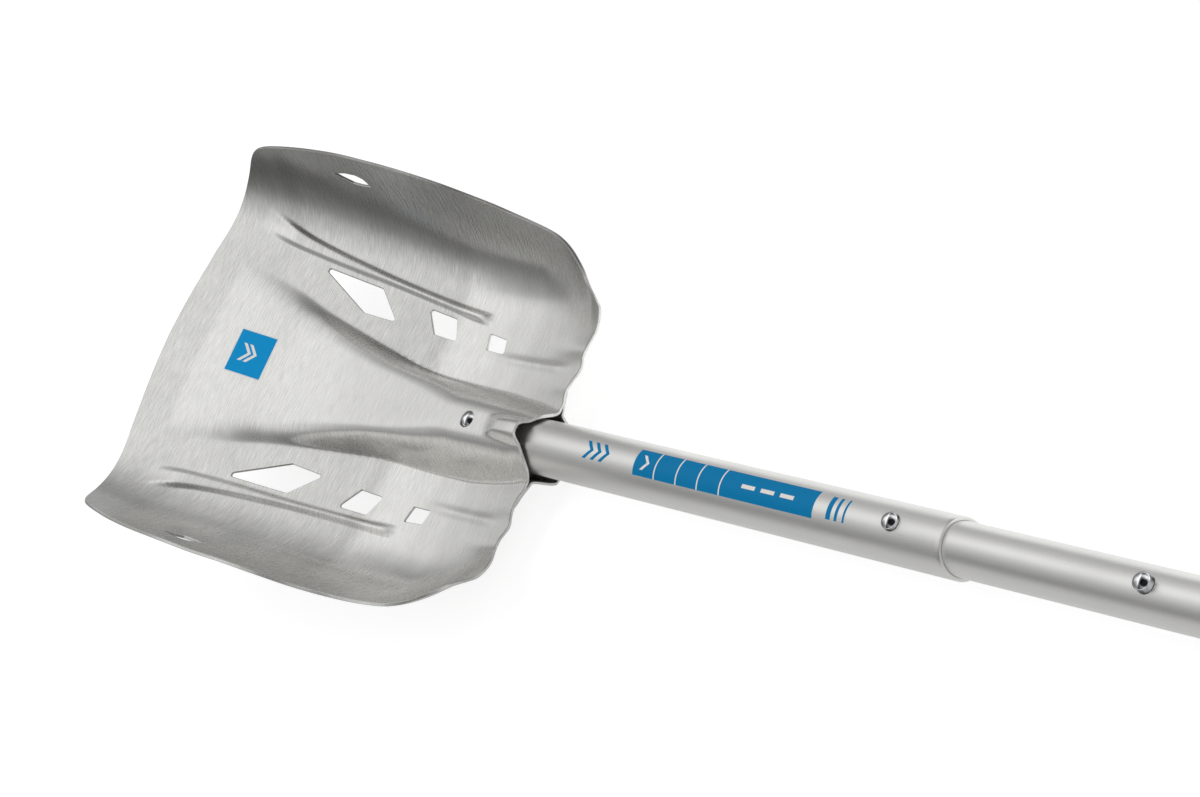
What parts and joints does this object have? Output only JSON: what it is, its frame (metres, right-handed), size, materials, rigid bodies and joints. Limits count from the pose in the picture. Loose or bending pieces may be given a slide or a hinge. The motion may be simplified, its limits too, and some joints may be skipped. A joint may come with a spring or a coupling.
{
  "type": "avalanche shovel",
  "caption": "Telescopic avalanche shovel: ribbed aluminium scoop blade with weight-saving holes, oval telescoping shaft, chrome snap buttons and T-grip",
  "frame": {"origin": "centre of the whole shovel's outline seen from above, at its lowest point, shaft pulled out to full length", "axes": "+Y along the shaft from blade to grip, +Z out of the blade's front face, +X across the blade"},
  "size_m": [0.2582, 0.8408, 0.1024],
  "materials": {
    "blade_aluminium": "pressed sheet, brushed across its width, with a printed blue rectangle on the front",
    "weld_aluminium": "weld bead, as laid",
    "tube_aluminium": "satin anodised, with a printed blue band on the lower tube",
    "button_chrome": "polished domes",
    "spring_steel": "rolled strip",
    "plug_plastic": "moulded, matt",
    "grip_plastic": "glass-filled nylon, fine texture",
    "grip_soft": "soft overmould with fine ribs",
    "rivet_steel": "turned heads"
  },
  "bodies": {
    "blade_assembly": {"blade": "blade_aluminium", "socket_back_plate": "blade_aluminium", "weld_left": "weld_aluminium", "weld_right": "weld_aluminium"},
    "lower_shaft": {"lower_tube": "tube_aluminium", "lower_tube_plug": "plug_plastic", "blade_spring": "spring_steel"},
    "blade_button_body": {"blade_button": "button_chrome"},
    "upper_shaft": {"upper_tube": "tube_aluminium", "guide_plug": "plug_plastic", "upper_spring": "spring_steel", "grip_core": "grip_plastic", "grip_cap_left": "grip_plastic", "grip_cap_right": "grip_plastic", "grip_sleeve_left": "grip_soft", "grip_sleeve_right": "grip_soft", "grip_rivet": "rivet_steel"},
    "mid_spring_body": {"mid_spring": "spring_steel"},
    "mid_button_body": {"mid_button": "button_chrome"},
    "upper_button_body": {"upper_button": "button_chrome"}
  },
  "joints": [
    {"name": "blade_release", "type": "slide", "parent": "blade_assembly", "child": "lower_shaft", "axis": [0, 1, 0], "range_m": [0, 0.08], "deforming": ["blade_button"]},
    {"name": "telescope", "type": "slide", "parent": "lower_shaft", "child": "upper_shaft", "axis": [0, 1, 0], "range_m": [-0.155, 0], "deforming": ["mid_button", "upper_button", "mid_spring"]},
    {"name": "blade_button_press", "type": "slide", "parent": "lower_shaft", "child": "blade_button_body", "axis": [0, 0, -1], "range_m": [0, 0.0052], "stiffness_N_per_m": 150, "deforming": ["blade_spring"]},
    {"name": "mid_spring_follow", "type": "slide", "parent": "upper_shaft", "child": "mid_spring_body", "axis": [0, 0, -1], "range_m": [0, 0.0068], "deforming": ["mid_spring"]},
    {"name": "mid_button_press", "type": "slide", "parent": "mid_spring_body", "child": "mid_button_body", "axis": [0, 0, -1], "range_m": [0, 0.0066], "stiffness_N_per_m": 150, "deforming": ["mid_spring"]},
    {"name": "upper_button_press", "type": "slide", "parent": "upper_shaft", "child": "upper_button_body", "axis": [0, 0, -1], "range_m": [0, 0.0066], "stiffness_N_per_m": 150, "deforming": ["upper_spring"]}
  ],
  "couplings": [
    {"joint": "mid_spring_follow", "follows": "telescope", "ratio": -0.0432}
  ]
}
